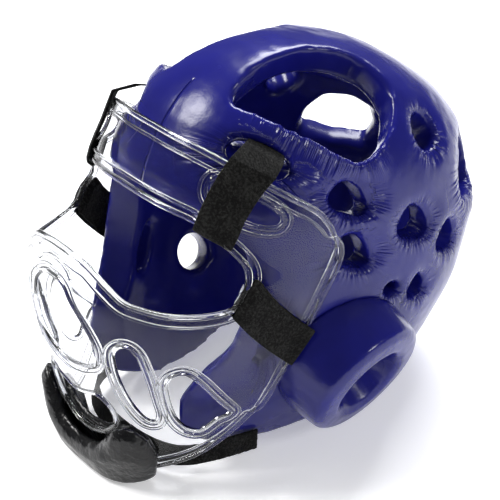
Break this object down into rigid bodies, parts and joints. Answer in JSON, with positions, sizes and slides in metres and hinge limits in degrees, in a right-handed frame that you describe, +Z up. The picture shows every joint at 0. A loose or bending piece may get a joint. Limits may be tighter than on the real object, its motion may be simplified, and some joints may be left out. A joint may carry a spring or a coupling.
{
  "type": "sparring headgear with face shield",
  "caption": "Padded foam sparring headgear with raised ear pads, open crown, clear face shield held by hook-and-loop straps, and a chin pad.",
  "frame": {"origin": "on the resting plane, under the middle of the whole headgear's bounding box", "axes": "+Z up as it rests, the face looks to -Y and a little up, the wearer's left ear is at +X"},
  "size_m": [0.2394, 0.3018, 0.2359],
  "materials": {
    "foam": "glossy dipped vinyl skin over soft foam",
    "shield": "clear polished polycarbonate",
    "strap": "matte woven hook-and-loop tape",
    "chin": "glossy vinyl"
  },
  "bodies": {
    "root": {"foam_shell": "foam", "ear_pad_left": "foam", "ear_pad_right": "foam", "face_shield": "shield", "brow_strap_left": "strap", "brow_strap_right": "strap", "cheek_strap_left": "strap", "cheek_strap_right": "strap", "chin_pad": "chin", "chin_strap": "strap"}
  },
  "joints": []
}
